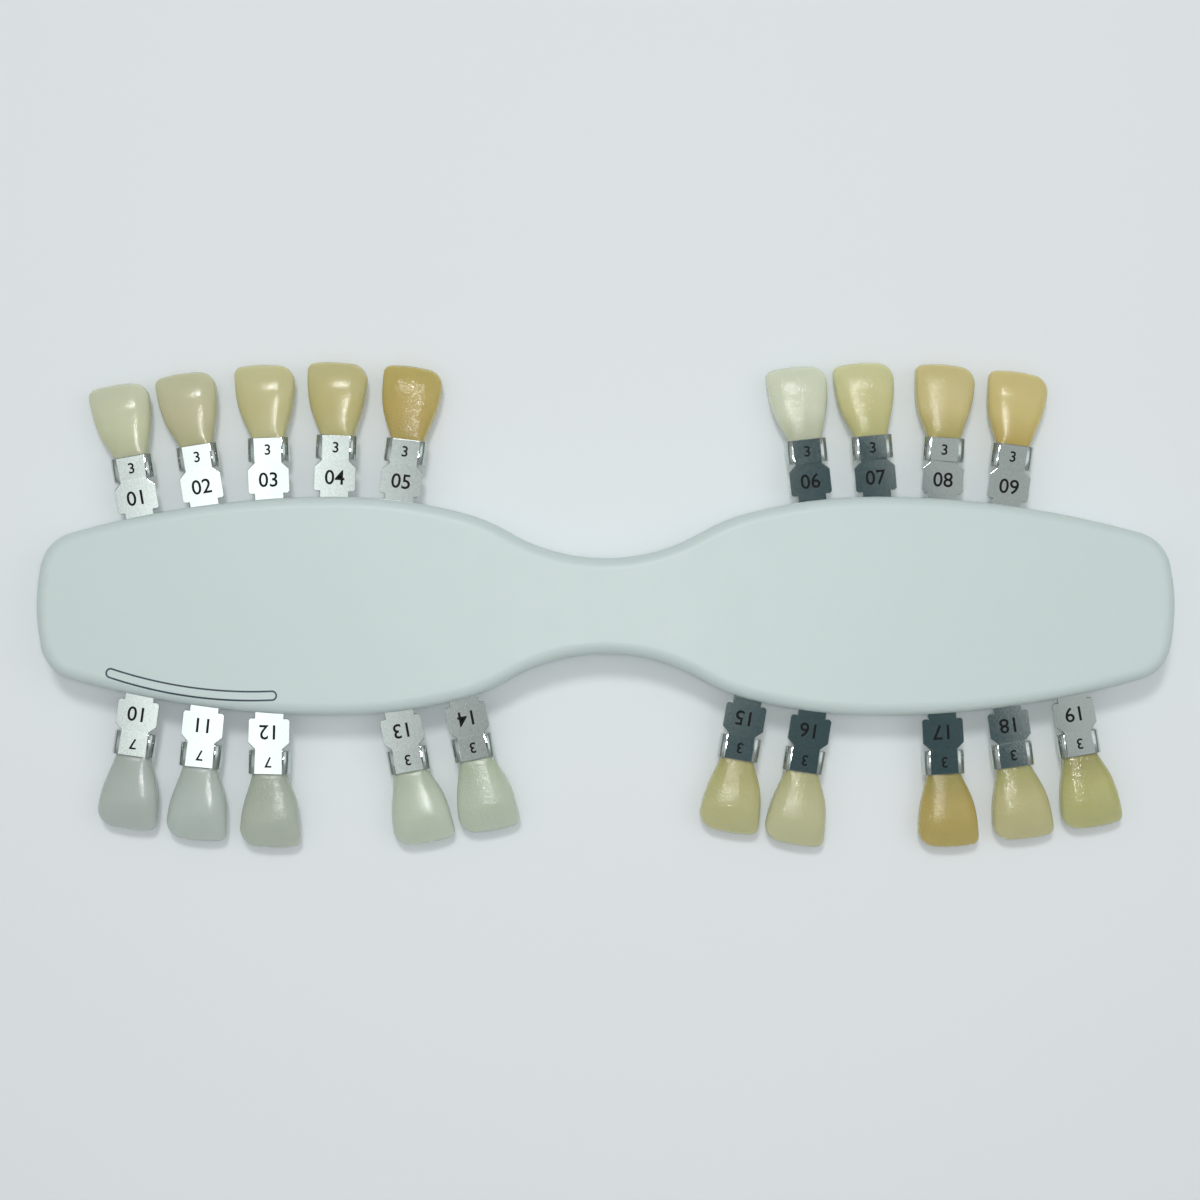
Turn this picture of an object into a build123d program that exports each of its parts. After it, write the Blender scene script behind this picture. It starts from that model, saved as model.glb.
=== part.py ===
from build123d import *
from math import asin, cos, degrees, radians, sin, sqrt
import os

os.makedirs("parts", exist_ok=True)

# A hand-held shade guide: a flat dumbbell-shaped plastic holder of two shells, and incisor-shaped
# samples, each in a stamped steel clip whose stem is pushed into a slot between the shells.
# Millimetres. Origin at the middle of the holder's underside, +X along the holder, +Z up.

# Holder outline, one quarter of it: waist, shoulder, lobe, flank and end
holder_length = 160.0
waist_half_width = 6.7
waist_radius = 27.0
waist_sweep = 30.5
shoulder_radius = 25.0
lobe_radius = 72.0
lobe_sweep = 14.5
flank_radius = 137.0
end_bulge = 1.6
corner_radius = 6.0

# Holder section
lower_height = 4.5
upper_height = 4.5
side_wall = 2.0
face_wall = 1.6
top_edge_radius = 1.7
bottom_edge_chamfer = 0.8

# Locating keys on the upper shell, and the sockets for them on the lower one
key_length = 5.0
key_width = 2.4
key_depth = 2.6
key_clearance = 0.05
key_end_gap = 0.4
socket_wall = 1.2
key_x = 10.0

# Slots along each lobe: the first one's distance from the middle, the step, and the fit of a stem
first_slot_x = 20.2
slot_pitch = 9.17
slot_side_clearance = 0.1
slot_top_clearance = 0.05
slot_end_clearance = 0.2
stop_wall = 1.0

# Clip, a stamping in one thickness of sheet
sheet = 0.4
stem_width = 4.1
stem_depth = 6.0
stem_corner = 0.6
stem_reveal = 0.9
plate_width = 5.8
plate_length = 3.5
plate_corner = 0.3
shoulder_length = 0.9
neck_width = 3.9
clip_reach = 8.85
wing_length = 3.35
wing_radius = 0.95
wing_drop = 1.3

# Sample tooth, in the clip's own frame: across, and outward from the holder's edge
tooth_thickness = 3.1
tooth_reach = 19.4
tooth_rise = 0.35
neck_reach = 10.2
mesial_half_width = 4.5
distal_half_width = 4.1
corner_drop = 0.6
flank_bulge = 0.5
mesial_corner_radius = 0.9
distal_corner_radius = 2.2
neck_fillet = 3.0
crown_reach = 13.0
crown_radius = 12.0
tongue_side_clearance = 0.05
tongue_chamfer = 0.5
tongue_root = 2.0

# Which slots hold a tab, and how far each one fans away from the waist, in degrees
top_left = {5: 10.0, 4: 9.0, 3: 2.1, 2: -2.0, 1: -7.2}
top_right = {1: -6.2, 2: -5.0, 3: 3.2, 4: 7.3}
bottom_left = {5: 8.0, 4: 5.8, 3: 1.3, 1: -10.5, 0: -11.0}
bottom_right = {0: -9.5, 1: -9.0, 3: 3.0, 4: 8.0, 5: 10.0}

key_positions = [(-key_x, 0), (key_x, 0)]
slot_width = stem_width + 2 * slot_side_clearance
slot_height = sheet + slot_top_clearance
slot_depth = stem_depth + slot_end_clearance
sheet_bottom = lower_height - slot_height
clasp_inner_width = neck_width + 2 * (wing_radius - sheet)

# Corners of the quarter outline, where one arc runs into the next
shoulder_x = waist_radius * sin(radians(waist_sweep))
shoulder_y = waist_half_width + waist_radius * (1 - cos(radians(waist_sweep)))
lobe_x = shoulder_x + shoulder_radius * (sin(radians(waist_sweep)) - sin(radians(lobe_sweep)))
lobe_y = shoulder_y + shoulder_radius * (cos(radians(lobe_sweep)) - cos(radians(waist_sweep)))
apex_x = lobe_x + lobe_radius * sin(radians(lobe_sweep))
apex_y = lobe_y + lobe_radius * (1 - cos(radians(lobe_sweep)))
end_x = holder_length / 2 - end_bulge


def half_width(x):
    """Half the holder's width at a distance x from its middle, out to the corner."""
    if x < shoulder_x:
        return waist_half_width + waist_radius - sqrt(waist_radius**2 - x**2)
    if x < lobe_x:
        centre_x = shoulder_x + shoulder_radius * sin(radians(waist_sweep))
        centre_y = shoulder_y - shoulder_radius * cos(radians(waist_sweep))
        return centre_y + sqrt(shoulder_radius**2 - (x - centre_x) ** 2)
    radius = lobe_radius if x < apex_x else flank_radius
    return apex_y - radius + sqrt(radius**2 - (x - apex_x) ** 2)


def tab_plane(side, row, slot, fan):
    """A tab's own plane at the sheet's underside: local Y runs outward, square to its slot."""
    x = first_slot_x + slot * slot_pitch
    lean = -side * fan
    turn = lean if row > 0 else 180 - lean
    across = (cos(radians(turn)), sin(radians(turn)), 0)
    return Plane(origin=(side * x, row * half_width(x), sheet_bottom), x_dir=across, z_dir=(0, 0, 1))


rows = [(-1, 1, top_left), (1, 1, top_right), (-1, -1, bottom_left), (1, -1, bottom_right)]
tabs = []
for side, row, filled in rows:
    for slot in sorted(filled, reverse=side < 0):
        tabs.append(tab_plane(side, row, slot, filled[slot]))
spots = [Location((tab.origin.X, tab.origin.Y, 0), (0, 0, tab.location.orientation.Z)) for tab in tabs]
slot_ends = [abs((tab.origin - tab.y_dir * slot_depth).Y) for tab in tabs]
channel_width = 2 * (min(slot_ends) - stop_wall)


def holder_outline(inset):
    """The holder's outline seen from above, drawn in by an even inset."""
    cap_x = end_x - inset
    flank_sweep = degrees(asin((cap_x - apex_x) / (flank_radius - inset)))
    with BuildSketch() as outline:
        with BuildLine():
            waist = JernArc((0, waist_half_width - inset), (1, 0), waist_radius + inset, waist_sweep)
            shoulder = JernArc(waist @ 1, waist % 1, shoulder_radius - inset, lobe_sweep - waist_sweep)
            lobe = JernArc(shoulder @ 1, shoulder % 1, lobe_radius - inset, -lobe_sweep)
            flank = JernArc(lobe @ 1, lobe % 1, flank_radius - inset, -flank_sweep)
            mirror(about=Plane.YZ)
            mirror(about=Plane.XZ)
            cap_y = (flank @ 1).Y
            right_end = ThreePointArc((cap_x, cap_y), (cap_x + end_bulge, 0), (cap_x, -cap_y))
            mirror(right_end, about=Plane.YZ)
        make_face()
        by_x = outline.vertices().group_by(Axis.X)
        fillet(by_x[0] + by_x[-1], corner_radius - inset)
    return outline.sketch


with BuildSketch() as channel:
    add(holder_outline(side_wall))
    Rectangle(holder_length, channel_width, mode=Mode.INTERSECT)

with BuildSketch() as slots:
    with Locations(spots):
        with Locations((0, stem_reveal)):
            Rectangle(slot_width, slot_depth + stem_reveal, align=(Align.CENTER, Align.MAX))


# Lower shell, with a channel along its middle and the slots that the stems lie in
with BuildPart() as lower_shell:
    with BuildSketch():
        add(holder_outline(0))
    extrude(amount=lower_height)
    chamfer(lower_shell.faces().sort_by(Axis.Z)[0].edges(), bottom_edge_chamfer)
    with BuildSketch(Plane.XY.offset(face_wall)):
        add(channel.sketch)
    extrude(amount=lower_height - face_wall, mode=Mode.SUBTRACT)
    with BuildSketch(Plane.XY.offset(sheet_bottom)):
        add(slots.sketch)
    extrude(amount=slot_height, mode=Mode.SUBTRACT)
    with BuildSketch(Plane.XY.offset(face_wall)):
        with Locations(key_positions):
            Rectangle(key_length + 2 * socket_wall, key_width + 2 * socket_wall)
    extrude(amount=lower_height - face_wall)
    with BuildSketch(Plane.XY.offset(lower_height)):
        with Locations(key_positions):
            Rectangle(key_length + 2 * key_clearance, key_width + 2 * key_clearance)
    extrude(amount=-(key_depth + key_end_gap), mode=Mode.SUBTRACT)
lower_shell.part.label = "lower_shell"
export_step(lower_shell.part, "parts/lower_shell.step")


# Upper shell, which closes the slots from above, with the same channel and two keys
with BuildPart() as upper_shell:
    with BuildSketch(Plane.XY.offset(lower_height)):
        add(holder_outline(0))
    extrude(amount=upper_height)
    fillet(upper_shell.faces().sort_by(Axis.Z)[-1].edges(), top_edge_radius)
    with BuildSketch(Plane.XY.offset(lower_height)):
        add(channel.sketch)
    extrude(amount=upper_height - face_wall, mode=Mode.SUBTRACT)
    with BuildSketch(Plane.XY.offset(lower_height - key_depth)):
        with Locations(key_positions):
            Rectangle(key_length, key_width)
    extrude(amount=key_depth + upper_height - face_wall)
upper_shell.part.label = "upper_shell"
export_step(upper_shell.part, "parts/upper_shell.step")


def make_clip(plane):
    """A flat blank of stem, plate and neck, with two wings bent down beside the tooth's tongue."""
    plate_end = stem_reveal + plate_length
    with BuildPart() as clip:
        with BuildSketch(plane):
            with BuildLine():
                Polyline(
                    (0, -stem_depth),
                    (stem_width / 2 - stem_corner, -stem_depth),
                    (stem_width / 2, stem_corner - stem_depth),
                    (stem_width / 2, stem_reveal),
                    (plate_width / 2 - plate_corner, stem_reveal),
                    (plate_width / 2, stem_reveal + plate_corner),
                    (plate_width / 2, plate_end),
                    (neck_width / 2, plate_end + shoulder_length),
                    (neck_width / 2, clip_reach),
                    (0, clip_reach),
                )
                mirror(about=Plane.YZ)
            make_face()
        extrude(amount=sheet)
        with BuildSketch(clasp_plane(plane, sheet / 2)):
            with BuildLine():
                bend = JernArc((neck_width / 2, 0), (1, 0), wing_radius - sheet / 2, -90)
                Line(bend @ 1, bend @ 1 - (0, wing_drop))
                mirror(about=Plane.YZ)
            trace(line_width=sheet)
        extrude(amount=wing_length)
    return clip


def clasp_plane(plane, height):
    """The upright plane at the clasp's open end, facing back towards the holder."""
    return Plane(plane.from_local_coords((0, clip_reach, height)), x_dir=plane.x_dir, z_dir=-plane.y_dir)


def make_tooth(plane):
    """An incisor crown with a flat back, upright sides and a face arched along its length."""
    tongue_width = clasp_inner_width - 2 * tongue_side_clearance
    half_neck = tongue_width / 2
    corner_y = tooth_reach - corner_drop
    middle_y = (neck_reach + corner_y) / 2
    mesial_corner = (-mesial_half_width, corner_y)
    distal_corner = (distal_half_width, corner_y)
    mesial_middle = (-(half_neck + mesial_half_width) / 2 - flank_bulge, middle_y)
    distal_middle = ((half_neck + distal_half_width) / 2 + flank_bulge, middle_y)
    crown_top = sheet + tooth_rise
    back_height = crown_top - tooth_thickness
    with BuildPart() as tooth:
        with BuildSketch(plane.offset(back_height)) as back:
            with BuildLine():
                Polyline((-half_neck, neck_reach), (-half_neck, clip_reach), (half_neck, clip_reach))
                Line((half_neck, clip_reach), (half_neck, neck_reach))
                ThreePointArc((half_neck, neck_reach), distal_middle, distal_corner)
                ThreePointArc(distal_corner, (0, tooth_reach), mesial_corner)
                ThreePointArc(mesial_corner, mesial_middle, (-half_neck, neck_reach))
            make_face()
            fillet(back.vertices().group_by(Axis.Y)[1], neck_fillet)
            fillet(back.vertices().sort_by(Axis.Y)[-2:].sort_by(Axis.X)[0], mesial_corner_radius)
            fillet(back.vertices().sort_by(Axis.X)[-1], distal_corner_radius)
        extrude(amount=tooth_thickness)
        side_view = Plane(plane.origin, x_dir=plane.y_dir, z_dir=plane.x_dir)
        with BuildSketch(side_view):
            with Locations((crown_reach, crown_top - crown_radius)):
                Circle(crown_radius)
        extrude(amount=tooth_reach / 2, both=True, mode=Mode.INTERSECT)
        with BuildSketch(clasp_plane(plane, 0).offset(-tongue_root)):
            with Locations((0, back_height / 2)):
                tongue = Rectangle(tongue_width, -back_height)
            chamfer(tongue.vertices().group_by(Axis.Y)[-1], tongue_chamfer)
        extrude(amount=tongue_root + wing_length)
    return tooth


for number, plane in enumerate(tabs, 1):
    clip = make_clip(plane)
    clip.part.label = f"clip_{number:02d}"
    export_step(clip.part, f"parts/clip_{number:02d}.step")
    tooth = make_tooth(plane)
    tooth.part.label = f"tooth_{number:02d}"
    export_step(tooth.part, f"parts/tooth_{number:02d}.step")
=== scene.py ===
from math import cos, exp, pi, radians, sin, sqrt

import bmesh
import bpy
from mathutils import Matrix, Vector


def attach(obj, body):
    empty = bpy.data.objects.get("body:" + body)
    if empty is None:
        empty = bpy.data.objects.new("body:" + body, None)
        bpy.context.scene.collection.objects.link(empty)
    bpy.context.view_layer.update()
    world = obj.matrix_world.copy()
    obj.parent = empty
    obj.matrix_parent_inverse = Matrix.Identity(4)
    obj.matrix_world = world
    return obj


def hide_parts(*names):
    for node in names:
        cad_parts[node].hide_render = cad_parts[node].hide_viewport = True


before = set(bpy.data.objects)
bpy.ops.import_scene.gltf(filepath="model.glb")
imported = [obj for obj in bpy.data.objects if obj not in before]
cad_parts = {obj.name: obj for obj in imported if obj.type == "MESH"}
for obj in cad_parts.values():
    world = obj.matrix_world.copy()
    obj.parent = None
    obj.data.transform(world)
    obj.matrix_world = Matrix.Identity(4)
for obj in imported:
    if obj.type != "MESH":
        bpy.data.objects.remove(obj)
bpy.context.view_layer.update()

# Lengths below are millimetres, as in the part's own source, where no comment says metres.
# MM turns them into metres.
MM = 0.001

# Holder outline and height
waist_half_width = 6.7
waist_radius = 27.0
waist_sweep = 30.5
shoulder_radius = 25.0
lobe_radius = 72.0
lobe_sweep = 14.5
flank_radius = 137.0
holder_height = 9.0
top_edge_radius = 1.7

# Tabs: slot places along each lobe, and the fan of each filled slot in degrees
first_slot_x = 20.2
slot_pitch = 9.17
top_left = {5: 10.0, 4: 9.0, 3: 2.1, 2: -2.0, 1: -7.2}
top_right = {1: -6.2, 2: -5.0, 3: 3.2, 4: 7.3}
bottom_left = {5: 8.0, 4: 5.8, 3: 1.3, 1: -10.5, 0: -11.0}
bottom_right = {0: -9.5, 1: -9.0, 3: 3.0, 4: 8.0, 5: 10.0}
rows = [(-1, 1, top_left), (1, 1, top_right), (-1, -1, bottom_left), (1, -1, bottom_right)]

# Marks on a clip: the sheet's top, how far outward from the holder's edge they stand, the height
# of their digits, how much heavier than the font they are, and how high they lie on a face
sheet_top = 4.45
plate_mark_reach = 2.75
plate_mark_size = 2.9
clasp_mark_reach = 7.05
clasp_mark_size = 2.1
mark_weight = 0.03
mark_lift = 0.01

# Edge breaks of the solids, the least turn in degrees that counts as an edge, and how near to
# each other points are welded
shell_edge = 0.12
clip_edge = 0.1
edge_angle = 40
weld_distance = 0.001

# Crown stations: reach, half width towards the tighter corner, half width towards the rounder
# corner, height of the face, how square the cross-section is, and how far its face is arched
crown_stations = [
    (5.6, 2.35, 2.35, 4.02, 6.0, 0.0),
    (8.85, 2.36, 2.36, 4.02, 6.0, 0.0),
    (9.3, 2.54, 2.48, 4.16, 5.0, 0.16),
    (10.2, 2.94, 2.72, 4.30, 4.6, 0.34),
    (11.5, 3.52, 3.10, 4.43, 4.4, 0.46),
    (12.8, 3.98, 3.46, 4.54, 4.4, 0.54),
    (14.5, 4.33, 3.80, 4.65, 4.4, 0.60),
    (15.8, 4.46, 3.94, 4.62, 4.4, 0.62),
    (17.4, 4.56, 4.02, 4.24, 4.4, 0.56),
    (19.4, 4.60, 4.04, 3.40, 4.4, 0.36),
]

# The crown's two ends, the height of its flat back, and how near to each other points are merged
crown_root = crown_stations[0][0]
crown_tip = crown_stations[-1][0]
crown_bottom = 1.72
merge_distance = 0.004

# The height at which a crown is widest, and how that falls away towards the biting edge
widest_height = 2.35
widest_fall = 0.25
widest_fall_start = 15.0
widest_fall_run = 4.4

# Biting edge: its rounding, its two corners, and its even fall to both sides of its furthest point
edge_rounding = 0.42
tight_corner = 0.95
round_corner = 2.1
tip_fall = 0.025
tip_peak = -0.8

# Two shallow grooves down the face, by their place across it, and where they fade in
groove_places = (-0.34, 0.3)
groove_width = 0.13
groove_depth = 0.05
groove_start = 11.5
groove_run = 3.5

# Shades of the samples: body, edge and neck, as display colours from 0 to 255
shades = [
    ((208, 213, 180), (210, 215, 192), (195, 199, 168)),
    ((201, 198, 161), (203, 206, 174), (190, 189, 149)),
    ((205, 199, 148), (208, 208, 163), (202, 201, 154)),
    ((201, 193, 134), (203, 199, 151), (195, 190, 136)),
    ((196, 176, 102), (195, 183, 114), (188, 171, 105)),
    ((219, 225, 201), (218, 225, 204), (192, 197, 170)),
    ((211, 207, 152), (216, 218, 173), (193, 193, 136)),
    ((215, 204, 147), (210, 200, 147), (185, 175, 109)),
    ((214, 200, 134), (214, 203, 146), (195, 176, 101)),
    ((203, 213, 207), (209, 218, 214), (195, 205, 197)),
    ((207, 219, 212), (212, 224, 217), (198, 210, 201)),
    ((201, 210, 196), (210, 219, 207), (192, 202, 186)),
    ((197, 208, 190), (201, 212, 197), (185, 197, 175)),
    ((193, 205, 186), (198, 210, 193), (182, 193, 170)),
    ((193, 192, 139), (199, 199, 155), (178, 173, 115)),
    ((200, 200, 159), (203, 205, 168), (183, 183, 134)),
    ((188, 171, 100), (193, 179, 114), (165, 157, 92)),
    ((197, 193, 142), (201, 199, 156), (173, 173, 114)),
    ((190, 190, 128), (195, 196, 145), (166, 163, 108)),
]
glassy_samples = {10, 11, 12}
glazed_samples = {1, 2, 3, 4, 9, 10, 11, 13}

# Where along a sample its colours stand, from 0 at its root to 1 at the biting edge
neck_place = 0.3
body_place = 0.55
edge_place = 0.97

# Clear rim of a sample: where it starts across and along, its share and how light it is
side_rim_start = 0.8
tip_rim_start = 0.94
rim_share = 0.4
rim_lightness = 1.12

# Faint mottling of a sample: its share at most, and how light it is
mottle_share = 0.35
mottle_lightness = 0.86

# Surface of a glazed and of a ground sample, as its lowest roughness and its grain's height in
# metres; how far the roughness rises from there; and how clear a glassy sample is
glazed_finish = (0.17, 0.00002)
ground_finish = (0.1, 0.00007)
roughness_rise = 0.12
glassy_share = 0.25

# Camera: straight above, at the distance and field that the photograph has
camera_height = 349.0
camera_centre = (-0.8, 0.85)
camera_lens = 72.86
camera_sensor = 36.0

# Floor: how far it lies below the object; half its side, and where it runs out into the backdrop's
# tone, both in metres
floor_drop = 0.02
floor_half_side = 2.5
floor_fade = (0.13, 0.42)
backdrop_color = (220, 226, 228)

# Brightness of the room at the walls and above, and how far up a direction leans for the latter
wall_light = 0.17
ceiling_light = 0.38
ceiling_lean = 0.7

# Light straight overhead: how far up a direction has to lean for it, where it fades out along Y,
# how far it reaches along X, and its brightness by how far a direction leans towards +X
overhead_start = 0.5
overhead_fade = (0.16, 0.34)
overhead_reach = 0.4
overhead_scale = 2.0
overhead_light = [
    (-0.34, 0.6), (-0.215, 0.7), (-0.19, 1.1), (-0.165, 1.9), (-0.13, 1.9), (-0.109, 1.25),
    (-0.083, 0.85), (-0.056, 0.5), (0.0, 0.35), (0.139, 0.66), (0.165, 0.5), (0.19, 0.66), (0.34, 0.6),
]

# Whoever looks down on the object, as a dark shape in that light: its middle and its half width,
# each with its change by the lean towards +Y; its least half width, its soft edge and its colour
onlooker_middle = (0.101, -0.08)
onlooker_half_width = (0.051, -0.4)
onlooker_least = 0.004
onlooker_edge = (0.85, 1.1)
onlooker_color = (0.065, 0.103, 0.118)

# Lamps, in metres and watts: name, place, target, size and power
lamps = [
    ("key", (-0.05, 0.37, 0.82), (0, 0, 0), 0.14, 2.02),
    ("fill", (0.5, 0.1, 0.7), (0, 0, 0), 0.5, 0.35),
    ("near_camera", (0.004, 0.002, 0.36), (0.004, 0.002, 0), 0.03, 0.22),
]


def srgb(r, g, b):
    """A display colour from 0 to 255 as Blender's linear colour."""
    parts = [c / 255 for c in (r, g, b)]
    return tuple(c / 12.92 if c <= 0.04045 else ((c + 0.055) / 1.055) ** 2.4 for c in parts) + (1.0,)


def half_width(x):
    """Half the holder's width at a distance x from its middle, out to the corner."""
    shoulder_x = waist_radius * sin(radians(waist_sweep))
    shoulder_y = waist_half_width + waist_radius * (1 - cos(radians(waist_sweep)))
    lobe_x = shoulder_x + shoulder_radius * (sin(radians(waist_sweep)) - sin(radians(lobe_sweep)))
    lobe_y = shoulder_y + shoulder_radius * (cos(radians(lobe_sweep)) - cos(radians(waist_sweep)))
    apex_x = lobe_x + lobe_radius * sin(radians(lobe_sweep))
    apex_y = lobe_y + lobe_radius * (1 - cos(radians(lobe_sweep)))
    if x < shoulder_x:
        return waist_half_width + waist_radius - sqrt(waist_radius**2 - x**2)
    if x < lobe_x:
        centre_x = shoulder_x + shoulder_radius * sin(radians(waist_sweep))
        centre_y = shoulder_y - shoulder_radius * cos(radians(waist_sweep))
        return centre_y + sqrt(shoulder_radius**2 - (x - centre_x) ** 2)
    radius = lobe_radius if x < apex_x else flank_radius
    return apex_y - radius + sqrt(radius**2 - (x - apex_x) ** 2)


def tab_matrix(side, row, slot, fan):
    """A tab's own frame in metres, on the holder's edge at floor height: local Y runs outward."""
    x = first_slot_x + slot * slot_pitch
    lean = -side * fan
    turn = lean if row > 0 else 180 - lean
    place = Vector((side * x, row * half_width(x), 0)) * MM
    return Matrix.Translation(place) @ Matrix.Rotation(radians(turn), 4, "Z")


tabs = []
for side, row, filled in rows:
    for slot in sorted(filled, reverse=side < 0):
        tabs.append(tab_matrix(side, row, slot, filled[slot]))


# Materials


def node_adder(tree):
    """A function that adds a node to a tree and sets its inputs by name."""

    def add(kind, **inputs):
        node = tree.nodes.new(kind)
        for key, value in inputs.items():
            node.inputs[key.replace("_", " ")].default_value = value
        return node

    return add


def new_material(name):
    """A node material, its Principled shader, and the functions that add and link its nodes."""
    material = bpy.data.materials.new(name)
    material.use_nodes = True
    tree = material.node_tree
    return material, tree.nodes["Principled BSDF"], node_adder(tree), tree.links.new


def noise(add, link, source, scale, detail=2.0, roughness=0.5):
    """A noise texture read at a coordinate output."""
    node = add("ShaderNodeTexNoise", Scale=scale, Detail=detail, Roughness=roughness)
    link(source, node.inputs["Vector"])
    return node.outputs["Fac"]


def remap(add, link, source, low, high):
    """A 0 to 1 value spread over low to high."""
    node = add("ShaderNodeMapRange", To_Min=low, To_Max=high)
    link(source, node.inputs["Value"])
    return node.outputs["Result"]


def bump(add, link, source, strength, distance):
    """The normal that a height output gives a surface; the distance is in metres."""
    node = add("ShaderNodeBump", Strength=strength, Distance=distance)
    link(source, node.inputs["Height"])
    return node.outputs["Normal"]


def blend_colors(add, link, factor, first, second):
    """A mix of two colours by a factor output; either colour may be an output itself."""
    node = add("ShaderNodeMix")
    node.data_type = "RGBA"
    link(factor, node.inputs["Factor"])
    for socket, color in ((node.inputs[6], first), (node.inputs[7], second)):
        if isinstance(color, tuple):
            socket.default_value = color
        else:
            link(color, socket)
    return node.outputs[2]


def math_node(add, link, operation, *values):
    """A math node's output; each value is a number or an output."""
    node = add("ShaderNodeMath")
    node.operation = operation
    for socket, value in zip(node.inputs, values):
        if isinstance(value, (int, float)):
            socket.default_value = value
        else:
            link(value, socket)
    return node.outputs[0]


def moulded_plastic():
    """Pale grey-white satin plastic with a fine spark-eroded grain."""
    material, shader, add, link = new_material("moulded_plastic")
    where = add("ShaderNodeTexCoord").outputs["Object"]
    cloudy = noise(add, link, where, 22.0, detail=3.0)
    color = blend_colors(add, link, cloudy, srgb(204, 220, 218), srgb(208, 224, 222))
    link(color, shader.inputs["Base Color"])
    gloss = noise(add, link, where, 240.0)
    link(remap(add, link, gloss, low=0.36, high=0.46), shader.inputs["Roughness"])
    grain = noise(add, link, where, 3600.0, detail=3.0)
    link(bump(add, link, grain, strength=0.22, distance=0.00002), shader.inputs["Normal"])
    shader.inputs["IOR"].default_value = 1.5
    shader.inputs["Subsurface Weight"].default_value = 0.06
    shader.inputs["Subsurface Scale"].default_value = 0.0008
    return material


def stamped_steel():
    """Bright stainless sheet with a fine tumbled grain."""
    material, shader, add, link = new_material("stamped_steel")
    where = add("ShaderNodeTexCoord").outputs["Object"]
    grain = noise(add, link, where, 4600.0, detail=2.0, roughness=0.6)
    color = blend_colors(add, link, grain, srgb(178, 189, 186), srgb(208, 218, 214))
    link(color, shader.inputs["Base Color"])
    link(remap(add, link, grain, low=0.05, high=0.09), shader.inputs["Roughness"])
    link(bump(add, link, grain, strength=1.0, distance=0.0000012), shader.inputs["Normal"])
    shader.inputs["Metallic"].default_value = 1.0
    return material


def laser_mark():
    """The dark matt oxide that a marking laser leaves in steel."""
    material, shader, add, link = new_material("laser_mark")
    where = add("ShaderNodeTexCoord").outputs["Object"]
    speckle = noise(add, link, where, 9000.0)
    color = blend_colors(add, link, speckle, srgb(12, 13, 16), srgb(24, 25, 28))
    link(color, shader.inputs["Base Color"])
    shader.inputs["Roughness"].default_value = 0.7
    shader.inputs["Specular IOR Level"].default_value = 0.2
    return material


def printed_line():
    """Thin slate-grey ink with a slightly uneven film."""
    material, shader, add, link = new_material("printed_line")
    where = add("ShaderNodeTexCoord").outputs["Object"]
    film = noise(add, link, where, 2400.0)
    color = blend_colors(add, link, film, srgb(44, 60, 70), srgb(62, 78, 88))
    link(color, shader.inputs["Base Color"])
    shader.inputs["Roughness"].default_value = 0.45
    return material


def sample_material(number, body, edge, neck, glaze):
    """Shade composite: deeper at the neck, paler and clearer towards the edge and the sides."""
    material, shader, add, link = new_material(f"shade_{number:02d}")
    uv = add("ShaderNodeSeparateXYZ")
    coordinates = add("ShaderNodeTexCoord")
    link(coordinates.outputs["UV"], uv.inputs["Vector"])
    ramp = add("ShaderNodeValToRGB")
    link(uv.outputs["Y"], ramp.inputs["Fac"])
    stops = ramp.color_ramp.elements
    stops[0].position, stops[0].color = neck_place, srgb(*neck)
    stops[1].position, stops[1].color = edge_place, srgb(*edge)
    stops.new(body_place).color = srgb(*body)
    side_rim = add("ShaderNodeMapRange", From_Min=side_rim_start, To_Max=rim_share)
    link(math_node(add, link, "ABSOLUTE", uv.outputs["X"]), side_rim.inputs["Value"])
    tip_rim = add("ShaderNodeMapRange", From_Min=tip_rim_start, To_Max=rim_share)
    link(uv.outputs["Y"], tip_rim.inputs["Value"])
    rim = math_node(add, link, "MAXIMUM", side_rim.outputs["Result"], tip_rim.outputs["Result"])
    rim_color = tuple(min(1.0, rim_lightness * c) for c in srgb(*edge)[:3]) + (1.0,)
    color = blend_colors(add, link, rim, ramp.outputs["Color"], rim_color)
    where = coordinates.outputs["Object"]
    mottle = noise(add, link, where, 420.0, detail=3.0)
    dark = tuple(mottle_lightness * c for c in srgb(*body)[:3]) + (1.0,)
    mottle = remap(add, link, mottle, low=0.0, high=mottle_share)
    link(blend_colors(add, link, mottle, color, dark), shader.inputs["Base Color"])
    grain = noise(add, link, where, 2400.0, detail=2.0, roughness=0.65)
    smoothest, relief = glazed_finish if glaze else ground_finish
    roughness = remap(add, link, grain, low=smoothest, high=smoothest + roughness_rise)
    link(roughness, shader.inputs["Roughness"])
    link(bump(add, link, grain, strength=1.0, distance=relief), shader.inputs["Normal"])
    shader.inputs["IOR"].default_value = 1.52
    shader.inputs["Subsurface Weight"].default_value = 0.85
    shader.inputs["Subsurface Radius"].default_value = (1.0, 0.9, 0.7)
    shader.inputs["Subsurface Scale"].default_value = 0.0014
    if number in glassy_samples:
        shader.inputs["Transmission Weight"].default_value = glassy_share
    return material


def seen_directly(add, link):
    """1 where a surface is looked at, in a mirror or through glass, and 0 where it only lights."""
    rays = add("ShaderNodeLightPath").outputs
    mirrored = math_node(add, link, "MAXIMUM", rays["Is Glossy Ray"], rays["Is Transmission Ray"])
    return math_node(add, link, "MAXIMUM", rays["Is Camera Ray"], mirrored)


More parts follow.
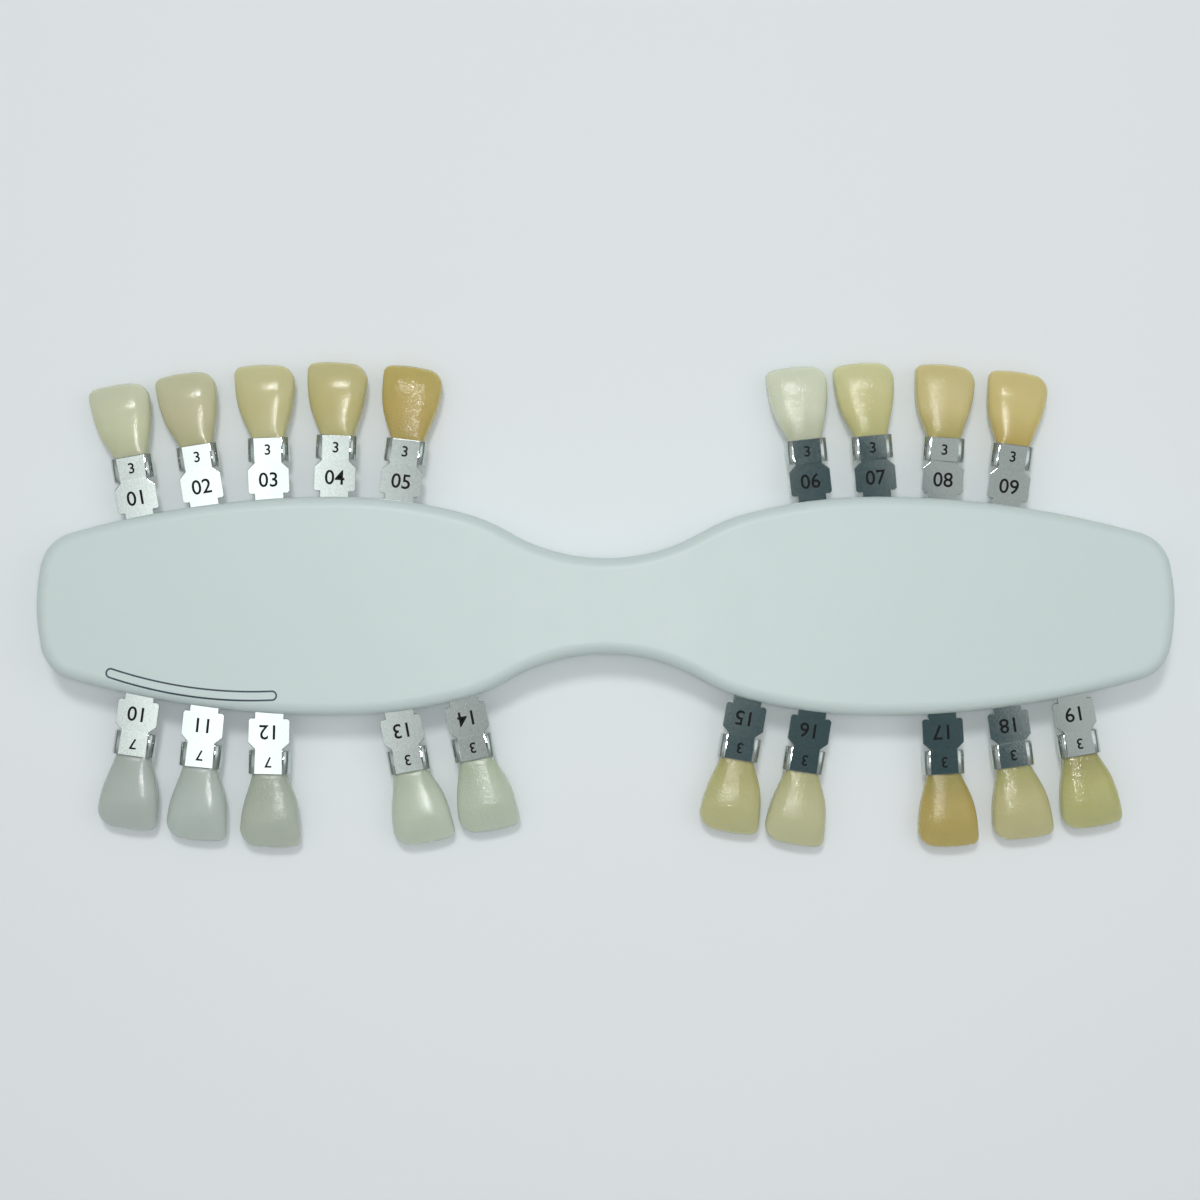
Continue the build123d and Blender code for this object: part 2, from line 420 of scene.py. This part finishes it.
def floor_material():
    """A plain pale matt floor that runs out into the backdrop's tone."""
    material, shader, add, link = new_material("floor_paper")
    where = add("ShaderNodeTexCoord").outputs["Object"]
    cloudy = noise(add, link, where, 3.0)
    color = blend_colors(add, link, cloudy, srgb(234, 240, 243), srgb(237, 243, 245))
    link(color, shader.inputs["Base Color"])
    shader.inputs["Roughness"].default_value = 0.9
    reach = add("ShaderNodeVectorMath")
    reach.operation = "LENGTH"
    link(where, reach.inputs[0])
    away = add("ShaderNodeMapRange", From_Min=floor_fade[0], From_Max=floor_fade[1])
    away.interpolation_type = "SMOOTHSTEP"
    link(reach.outputs["Value"], away.inputs["Value"])
    backdrop = add("ShaderNodeEmission", Color=srgb(*backdrop_color))
    surface = add("ShaderNodeMixShader")
    shown = math_node(add, link, "MULTIPLY", away.outputs["Result"], seen_directly(add, link))
    link(shown, surface.inputs["Fac"])
    link(shader.outputs["BSDF"], surface.inputs[1])
    link(backdrop.outputs["Emission"], surface.inputs[2])
    link(surface.outputs["Shader"], material.node_tree.nodes["Material Output"].inputs["Surface"])
    return material


# Meshes


def link_mesh(name, bm, material, smooth=True):
    """A finished bmesh as an object in the scene."""
    bmesh.ops.recalc_face_normals(bm, faces=bm.faces)
    mesh = bpy.data.meshes.new(name)
    bm.to_mesh(mesh)
    bm.free()
    mesh.polygons.foreach_set("use_smooth", [smooth] * len(mesh.polygons))
    mesh.materials.append(material)
    piece = bpy.data.objects.new(name, mesh)
    bpy.context.scene.collection.objects.link(piece)
    return piece


def station_values(reach):
    """The crown's station values at a reach, on a smooth curve through its table."""
    table = crown_stations
    last = len(table) - 1
    i = next((k for k in range(last) if reach < table[k + 1][0]), last - 1)
    before, low, high, after = (table[max(0, min(last, k))] for k in (i - 1, i, i + 1, i + 2))
    t = (reach - low[0]) / (high[0] - low[0])
    span = high[0] - low[0]
    values = []
    for k in range(1, len(low)):
        rise_low = (high[k] - before[k]) / max(high[0] - before[0], 1e-6) * span
        rise_high = (after[k] - low[k]) / max(after[0] - low[0], 1e-6) * span
        values.append(
            (2 * t**3 - 3 * t**2 + 1) * low[k]
            + (t**3 - 2 * t**2 + t) * rise_low
            + (3 * t**2 - 2 * t**3) * high[k]
            + (t**3 - t**2) * rise_high
        )
    return values


def corner_fall(distance, radius):
    """How far a rounded corner falls below its edge at a distance from the side."""
    if distance >= radius:
        return 0.0
    return radius - sqrt(radius**2 - (radius - distance) ** 2)


def tip_reach(across):
    """The reach of the biting edge at a place across the crown."""
    left, right = crown_stations[-1][1], crown_stations[-1][2]
    corners = corner_fall(across + left, tight_corner) + corner_fall(right - across, round_corner)
    return crown_tip - tip_fall * (across - tip_peak) ** 2 - corners


def part_way(value, start, run):
    """How far a value has come along a run, from 0 to 1."""
    return min(1.0, max(0.0, (value - start) / run))


def signed_power(value, power):
    """A power that keeps its base's sign."""
    return abs(value) ** power if value >= 0 else -(abs(value) ** power)


def make_sample(number, matrix, material, around=72, along=58):
    """The crown as a tube of rounded sections that closes softly at the biting edge."""
    left_tip, right_tip = crown_stations[-1][1], crown_stations[-1][2]
    bm = bmesh.new()
    layer = bm.loops.layers.uv.new("across_and_along")
    rings, marks = [], {}
    for i in range(along + 1):
        share = sin(pi / 2 * i / along)
        square = station_values(crown_root + (crown_tip - crown_root) * share)[3]
        ring = []
        for k in range(around):
            angle = 2 * pi * k / around
            u = signed_power(cos(angle), 2 / square)
            w = signed_power(sin(angle), 2 / square)
            across = (left_tip + right_tip) / 2 * u + (right_tip - left_tip) / 2
            tip = tip_reach(max(-left_tip, min(right_tip, across)))
            y = crown_root + (tip - crown_root) * share
            left, right, top, _, arch = station_values(min(y, crown_tip))
            x = (left + right) / 2 * u + (right - left) / 2
            into_edge = max(0.0, (y - (tip - edge_rounding)) / edge_rounding)
            closing = sqrt(max(0.0, 1 - into_edge**2))
            z = widest_height - widest_fall * part_way(y, widest_fall_start, widest_fall_run)
            if w > 0:
                hollow = sum(exp(-(((u - place) / groove_width) ** 2)) for place in groove_places)
                fading = groove_depth * part_way(y, groove_start, groove_run)
                z += (w * (top - z - arch * u * u) - hollow * fading) * closing
            else:
                z += w * (z - crown_bottom) * closing
            vertex = bm.verts.new(matrix @ (Vector((x, y, z)) * MM))
            marks[vertex] = (u, share)
            ring.append(vertex)
        rings.append(ring)
    for lower, upper in zip(rings, rings[1:]):
        for k in range(around):
            bm.faces.new((lower[k], lower[(k + 1) % around], upper[(k + 1) % around], upper[k]))
    bm.faces.new(rings[0])
    for face in bm.faces:
        for loop in face.loops:
            loop[layer].uv = marks[loop.vert]
    bmesh.ops.remove_doubles(bm, verts=bm.verts, dist=merge_distance * MM)
    return link_mesh(f"sample_{number:02d}", bm, material)


def make_mark(name, text, matrix, reach, size, material):
    """A number laid on the sheet, upright to someone who looks outward along the tab."""
    curve = bpy.data.curves.new(name, "FONT")
    curve.body = text
    curve.size = size * MM
    curve.offset = mark_weight * MM
    curve.resolution_u = 4
    curve.align_x = "CENTER"
    curve.align_y = "CENTER"
    letters = bpy.data.objects.new(name + "_text", curve)
    bpy.context.scene.collection.objects.link(letters)
    bpy.context.view_layer.update()
    depsgraph = bpy.context.evaluated_depsgraph_get()
    mesh = bpy.data.meshes.new_from_object(letters.evaluated_get(depsgraph))
    bpy.data.objects.remove(letters)
    mesh.transform(matrix @ Matrix.Translation(Vector((0, reach, sheet_top + mark_lift)) * MM))
    mesh.materials.clear()
    mesh.materials.append(material)
    mesh.name = name
    piece = bpy.data.objects.new(name, mesh)
    bpy.context.scene.collection.objects.link(piece)
    return piece


# Finish of the CAD nodes


def dress(node, material, edge):
    """A CAD node with its material and a small break on its sharp edges."""
    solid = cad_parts[node]
    solid.data.materials.clear()
    solid.data.materials.append(material)
    weld = solid.modifiers.new("weld", "WELD")
    weld.merge_threshold = weld_distance * MM
    bevel = solid.modifiers.new("edge_break", "BEVEL")
    bevel.width = edge * MM
    bevel.segments = 2
    bevel.limit_method = "ANGLE"
    bevel.angle_limit = radians(edge_angle)
    bevel.harden_normals = True


plastic = moulded_plastic()
steel = stamped_steel()
dress("upper_shell", plastic, shell_edge)
dress("lower_shell", plastic, shell_edge)

mark = laser_mark()
for number, matrix in enumerate(tabs, 1):
    body = f"tab_{number:02d}"
    dress(f"clip_{number:02d}", steel, clip_edge)
    shade = sample_material(number, *shades[number - 1], number in glazed_samples)
    sample = make_sample(number, matrix, shade)
    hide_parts(f"tooth_{number:02d}")
    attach(sample, body)
    digit = "7" if number in glassy_samples else "3"
    code = make_mark(f"code_{number:02d}", f"{number:02d}", matrix, plate_mark_reach, plate_mark_size, mark)
    layer = make_mark(f"layer_{number:02d}", digit, matrix, clasp_mark_reach, clasp_mark_size, mark)
    for piece in (code, layer):
        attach(piece, body)


# Printed outline on the holder's face: its two round ends, measured from the holder's middle, how
# far it bows between them, half its width and the width of its line
pill_ends = [(-69.3, -9.4), (-46.75, -12.55)]
pill_bow = 1.05
pill_radius = 0.63
pill_line = 0.25


def pill_loop(radius, steps=14, runs=24):
    """A closed loop round the bowed line between the two ends, at an even radius."""
    start, end = (Vector((*p, 0)) for p in pill_ends)
    run = (end - start).normalized()
    across = Vector((-run.y, run.x, 0))
    points = []
    for side, first, last in ((-1, start, end), (1, end, start)):
        for k in range(runs + 1):
            t = k / runs
            bow = 4 * pill_bow * t * (1 - t)
            points.append(first.lerp(last, t) + across * (side * radius - bow))
        for k in range(1, steps):
            a = side * pi / 2 + pi * k / steps
            points.append(last + run * (cos(a) * radius) + across * (sin(a) * radius))
    return points


def on_face(point):
    """The point laid on the holder's face, also where that rounds down to the edge."""
    inward = half_width(abs(point.x)) - abs(point.y)
    return Vector((point.x, point.y, holder_height - corner_fall(inward, top_edge_radius) + mark_lift))


def make_pill():
    """The thin printed outline as a flat ribbon."""
    bm = bmesh.new()
    inner, outer = (
        [bm.verts.new(on_face(point) * MM) for point in pill_loop(pill_radius + side * pill_line / 2)]
        for side in (-1, 1)
    )
    for k in range(-1, len(inner) - 1):
        bm.faces.new((inner[k], inner[k + 1], outer[k + 1], outer[k]))
    return link_mesh("printed_outline", bm, printed_line(), smooth=False)


outline = make_pill()
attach(outline, "holder")


# Floor, light and camera


def make_floor():
    """A plain pale floor under the whole view."""
    bm = bmesh.new()
    bmesh.ops.create_grid(bm, x_segments=8, y_segments=8, size=floor_half_side)
    floor = link_mesh("floor", bm, floor_material(), smooth=False)
    floor.location.z = -floor_drop * MM


def add_lamp(name, place, target, size, power):
    """A square soft lamp at a place in metres, turned to a target."""
    data = bpy.data.lights.new(name, "AREA")
    data.shape = "SQUARE"
    data.size = size
    data.energy = power
    lamp = bpy.data.objects.new(name, data)
    lamp.location = place
    lamp.rotation_euler = (Vector(target) - Vector(place)).to_track_quat("-Z", "Y").to_euler()
    lamp.visible_camera = False
    bpy.context.scene.collection.objects.link(lamp)


def blend_onlooker(add, link, towards, light):
    """The overhead light with the dark shape of whoever looks down."""
    lean_x, lean_y = towards.outputs["X"], towards.outputs["Y"]
    middle, half = (
        math_node(add, link, "MULTIPLY_ADD", lean_y, change, value)
        for value, change in (onlooker_middle, onlooker_half_width)
    )
    half = math_node(add, link, "MAXIMUM", half, onlooker_least)
    away = math_node(add, link, "ABSOLUTE", math_node(add, link, "SUBTRACT", lean_x, middle))
    share = math_node(add, link, "DIVIDE", away, half)
    edge = add("ShaderNodeMapRange", From_Min=onlooker_edge[0], From_Max=onlooker_edge[1])
    link(share, edge.inputs["Value"])
    dark = tuple(c / overhead_scale for c in onlooker_color) + (1.0,)
    return blend_colors(add, link, edge.outputs["Result"], dark, light)


def make_world():
    """A pale room: darker walls, a bright ceiling, and the patterned light straight overhead."""
    world = bpy.data.worlds.new("room")
    bpy.context.scene.world = world
    world.use_nodes = True
    tree = world.node_tree
    add, link = node_adder(tree), tree.links.new

    towards = add("ShaderNodeSeparateXYZ")
    link(add("ShaderNodeTexCoord").outputs["Generated"], towards.inputs["Vector"])
    ceiling = add("ShaderNodeMapRange", From_Max=ceiling_lean, To_Min=wall_light, To_Max=ceiling_light)
    link(towards.outputs["Z"], ceiling.inputs["Value"])
    sideways = add("ShaderNodeMapRange", From_Min=-overhead_reach, From_Max=overhead_reach)
    link(towards.outputs["X"], sideways.inputs["Value"])
    overhead = add("ShaderNodeValToRGB")
    link(sideways.outputs["Result"], overhead.inputs["Fac"])
    pattern = [(0.5 + lean / (2 * overhead_reach), light / overhead_scale) for lean, light in overhead_light]
    stops = overhead.color_ramp.elements
    for place, _ in pattern[1:-1]:
        stops.new(place)
    for stop, (place, light) in zip(stops, pattern):
        stop.position, stop.color = place, (light, light, light, 1.0)
    onlooker = blend_onlooker(add, link, towards, overhead.outputs["Color"])
    level = add("ShaderNodeVectorMath")
    level.operation = "SCALE"
    level.inputs["Scale"].default_value = overhead_scale
    link(onlooker, level.inputs[0])
    near, far = overhead_fade
    inside = add("ShaderNodeMapRange", From_Min=near, From_Max=far, To_Min=1.0, To_Max=0.0)
    link(math_node(add, link, "ABSOLUTE", towards.outputs["Y"]), inside.inputs["Value"])
    above = math_node(add, link, "GREATER_THAN", towards.outputs["Z"], overhead_start)
    zone = math_node(add, link, "MULTIPLY", inside.outputs["Result"], above)
    room_light = blend_colors(add, link, zone, ceiling.outputs["Result"], level.outputs[0])
    room = tree.nodes["Background"]
    link(room_light, room.inputs["Color"])
    plain = add("ShaderNodeBackground", Color=srgb(*backdrop_color))
    mix = add("ShaderNodeMixShader")
    link(add("ShaderNodeLightPath").outputs["Is Camera Ray"], mix.inputs["Fac"])
    link(room.outputs["Background"], mix.inputs[1])
    link(plain.outputs["Background"], mix.inputs[2])
    link(mix.outputs["Shader"], tree.nodes["World Output"].inputs["Surface"])


make_floor()
make_world()
for lamp in lamps:
    add_lamp(*lamp)

camera_data = bpy.data.cameras.new("camera")
camera_data.lens = camera_lens
camera_data.sensor_width = camera_sensor
camera = bpy.data.objects.new("camera", camera_data)
camera.location = Vector((*camera_centre, camera_height)) * MM
bpy.context.scene.collection.objects.link(camera)
bpy.context.scene.camera = camera
bpy.context.scene.view_settings.view_transform = "Standard"
